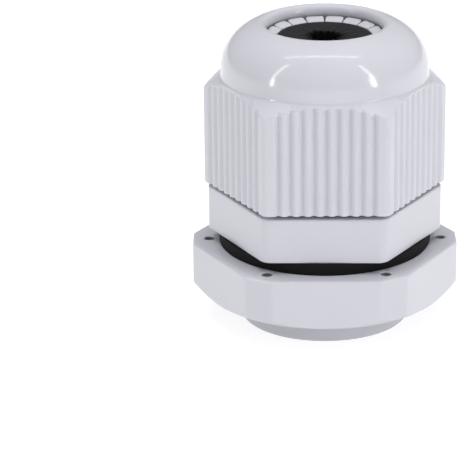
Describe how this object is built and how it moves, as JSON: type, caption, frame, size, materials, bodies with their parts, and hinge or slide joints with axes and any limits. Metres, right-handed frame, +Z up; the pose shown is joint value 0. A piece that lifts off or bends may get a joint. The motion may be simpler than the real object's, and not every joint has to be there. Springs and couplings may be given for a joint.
{
  "type": "cable gland",
  "caption": "Domed plastic cable gland with fluted cap nut, clamping fingers, rubber seal, hexagonal flange, sealing washer and locknut.",
  "frame": {"origin": "centre of the plain entry end's lower face, the lowest point of the gland on its axis", "axes": "+Z up along the gland's axis from the entry end to the cap nut's mouth; -Y faces the front flat of the hexagonal flange"},
  "size_m": [0.0312, 0.0288, 0.0356],
  "materials": {
    "nylon_body": "light grey moulded nylon, semi-gloss",
    "nylon_cap": "light grey moulded nylon, glossy dome",
    "nylon_nut": "light grey moulded nylon, semi-gloss",
    "nylon_fingers": "light grey moulded nylon, semi-gloss",
    "seal_rubber": "black moulded rubber, matte",
    "washer_rubber": "black rubber sheet, matte"
  },
  "bodies": {
    "gland_body": {"gland_body": "nylon_body"},
    "finger_01": {"clamp_finger_01": "nylon_fingers"},
    "finger_02": {"clamp_finger_02": "nylon_fingers"},
    "finger_03": {"clamp_finger_03": "nylon_fingers"},
    "finger_04": {"clamp_finger_04": "nylon_fingers"},
    "finger_05": {"clamp_finger_05": "nylon_fingers"},
    "finger_06": {"clamp_finger_06": "nylon_fingers"},
    "finger_07": {"clamp_finger_07": "nylon_fingers"},
    "finger_08": {"clamp_finger_08": "nylon_fingers"},
    "finger_09": {"clamp_finger_09": "nylon_fingers"},
    "finger_10": {"clamp_finger_10": "nylon_fingers"},
    "finger_11": {"clamp_finger_11": "nylon_fingers"},
    "finger_12": {"clamp_finger_12": "nylon_fingers"},
    "finger_13": {"clamp_finger_13": "nylon_fingers"},
    "finger_14": {"clamp_finger_14": "nylon_fingers"},
    "finger_15": {"clamp_finger_15": "nylon_fingers"},
    "finger_16": {"clamp_finger_16": "nylon_fingers"},
    "finger_17": {"clamp_finger_17": "nylon_fingers"},
    "seal": {"seal": "seal_rubber"},
    "cap_nut": {"cap_nut": "nylon_cap"},
    "sealing_washer": {"sealing_washer": "washer_rubber"},
    "locknut": {"locknut": "nylon_nut"}
  },
  "joints": [
    {"name": "cap_lift", "type": "slide", "parent": "gland_body", "child": "seal", "axis": [0, 0, 1], "range_m": [0, 0.0042]},
    {"name": "cap_turn", "type": "hinge", "parent": "seal", "child": "cap_nut", "pos_m": [0, 0, 0.0163], "axis": [0, 0, 1], "range_deg": [0, 1050]},
    {"name": "finger_01_bend", "type": "hinge", "parent": "gland_body", "child": "finger_01", "pos_m": [0.00828, 0.00234, 0.0252], "axis": [-0.2723, 0.9622, 0], "range_deg": [0, 16]},
    {"name": "finger_02_bend", "type": "hinge", "parent": "gland_body", "child": "finger_02", "pos_m": [0.00687, 0.00517, 0.0252], "axis": [-0.6015, 0.7989, 0], "range_deg": [0, 16]},
    {"name": "finger_03_bend", "type": "hinge", "parent": "gland_body", "child": "finger_03", "pos_m": [0.00454, 0.00731, 0.0252], "axis": [-0.8495, 0.5277, 0], "range_deg": [0, 16]},
    {"name": "finger_04_bend", "type": "hinge", "parent": "gland_body", "child": "finger_04", "pos_m": [0.00159, 0.00845, 0.0252], "axis": [-0.9827, 0.1852, 0], "range_deg": [0, 16]},
    {"name": "finger_05_bend", "type": "hinge", "parent": "gland_body", "child": "finger_05", "pos_m": [-0.00157, 0.00846, 0.0252], "axis": [-0.9832, -0.1823, 0], "range_deg": [0, 16]},
    {"name": "finger_06_bend", "type": "hinge", "parent": "gland_body", "child": "finger_06", "pos_m": [-0.00452, 0.00732, 0.0252], "axis": [-0.851, -0.5252, 0], "range_deg": [0, 16]},
    {"name": "finger_07_bend", "type": "hinge", "parent": "gland_body", "child": "finger_07", "pos_m": [-0.00686, 0.00519, 0.0252], "axis": [-0.6038, -0.7972, 0], "range_deg": [0, 16]},
    {"name": "finger_08_bend", "type": "hinge", "parent": "gland_body", "child": "finger_08", "pos_m": [-0.00827, 0.00237, 0.0252], "axis": [-0.275, -0.9614, 0], "range_deg": [0, 16]},
    {"name": "finger_09_bend", "type": "hinge", "parent": "gland_body", "child": "finger_09", "pos_m": [-0.00856, -0.00078, 0.0252], "axis": [0.0908, -0.9959, 0], "range_deg": [0, 16]},
    {"name": "finger_10_bend", "type": "hinge", "parent": "gland_body", "child": "finger_10", "pos_m": [-0.0077, -0.00382, 0.0252], "axis": [0.4445, -0.8958, 0], "range_deg": [0, 16]},
    {"name": "finger_11_bend", "type": "hinge", "parent": "gland_body", "child": "finger_11", "pos_m": [-0.0058, -0.00635, 0.0252], "axis": [0.738, -0.6748, 0], "range_deg": [0, 16]},
    {"name": "finger_12_bend", "type": "hinge", "parent": "gland_body", "child": "finger_12", "pos_m": [-0.00312, -0.00801, 0.0252], "axis": [0.932, -0.3626, 0], "range_deg": [0, 16]},
    {"name": "finger_13_bend", "type": "hinge", "parent": "gland_body", "child": "finger_13", "pos_m": [-0.00001, -0.0086, 0.0252], "axis": [1, -0.0014, 0], "range_deg": [0, 16]},
    {"name": "finger_14_bend", "type": "hinge", "parent": "gland_body", "child": "finger_14", "pos_m": [0.0031, -0.00802, 0.0252], "axis": [0.933, 0.3599, 0], "range_deg": [0, 16]},
    {"name": "finger_15_bend", "type": "hinge", "parent": "gland_body", "child": "finger_15", "pos_m": [0.00578, -0.00636, 0.0252], "axis": [0.74, 0.6726, 0], "range_deg": [0, 16]},
    {"name": "finger_16_bend", "type": "hinge", "parent": "gland_body", "child": "finger_16", "pos_m": [0.00769, -0.00384, 0.0252], "axis": [0.447, 0.8945, 0], "range_deg": [0, 16]},
    {"name": "finger_17_bend", "type": "hinge", "parent": "gland_body", "child": "finger_17", "pos_m": [0.00856, -0.00081, 0.0252], "axis": [0.0937, 0.9956, 0], "range_deg": [0, 16]},
    {"name": "washer_drop", "type": "slide", "parent": "gland_body", "child": "sealing_washer", "axis": [0, 0, -1], "range_m": [0, 0.0032]},
    {"name": "locknut_turn", "type": "hinge", "parent": "sealing_washer", "child": "locknut", "pos_m": [0, 0, 0.0063], "axis": [0, 0, -1], "range_deg": [0, 810]}
  ],
  "couplings": [
    {"joint": "cap_lift", "follows": "cap_turn", "m_per_rad": 0.00022441},
    {"joint": "finger_01_bend", "follows": "cap_turn", "ratio": 0.015},
    {"joint": "finger_02_bend", "follows": "cap_turn", "ratio": 0.015},
    {"joint": "finger_03_bend", "follows": "cap_turn", "ratio": 0.015},
    {"joint": "finger_04_bend", "follows": "cap_turn", "ratio": 0.015},
    {"joint": "finger_05_bend", "follows": "cap_turn", "ratio": 0.015},
    {"joint": "finger_06_bend", "follows": "cap_turn", "ratio": 0.015},
    {"joint": "finger_07_bend", "follows": "cap_turn", "ratio": 0.015},
    {"joint": "finger_08_bend", "follows": "cap_turn", "ratio": 0.015},
    {"joint": "finger_09_bend", "follows": "cap_turn", "ratio": 0.015},
    {"joint": "finger_10_bend", "follows": "cap_turn", "ratio": 0.015},
    {"joint": "finger_11_bend", "follows": "cap_turn", "ratio": 0.015},
    {"joint": "finger_12_bend", "follows": "cap_turn", "ratio": 0.015},
    {"joint": "finger_13_bend", "follows": "cap_turn", "ratio": 0.015},
    {"joint": "finger_14_bend", "follows": "cap_turn", "ratio": 0.015},
    {"joint": "finger_15_bend", "follows": "cap_turn", "ratio": 0.015},
    {"joint": "finger_16_bend", "follows": "cap_turn", "ratio": 0.015},
    {"joint": "finger_17_bend", "follows": "cap_turn", "ratio": 0.015},
    {"joint": "washer_drop", "follows": "locknut_turn", "m_per_rad": 0.00022441}
  ]
}
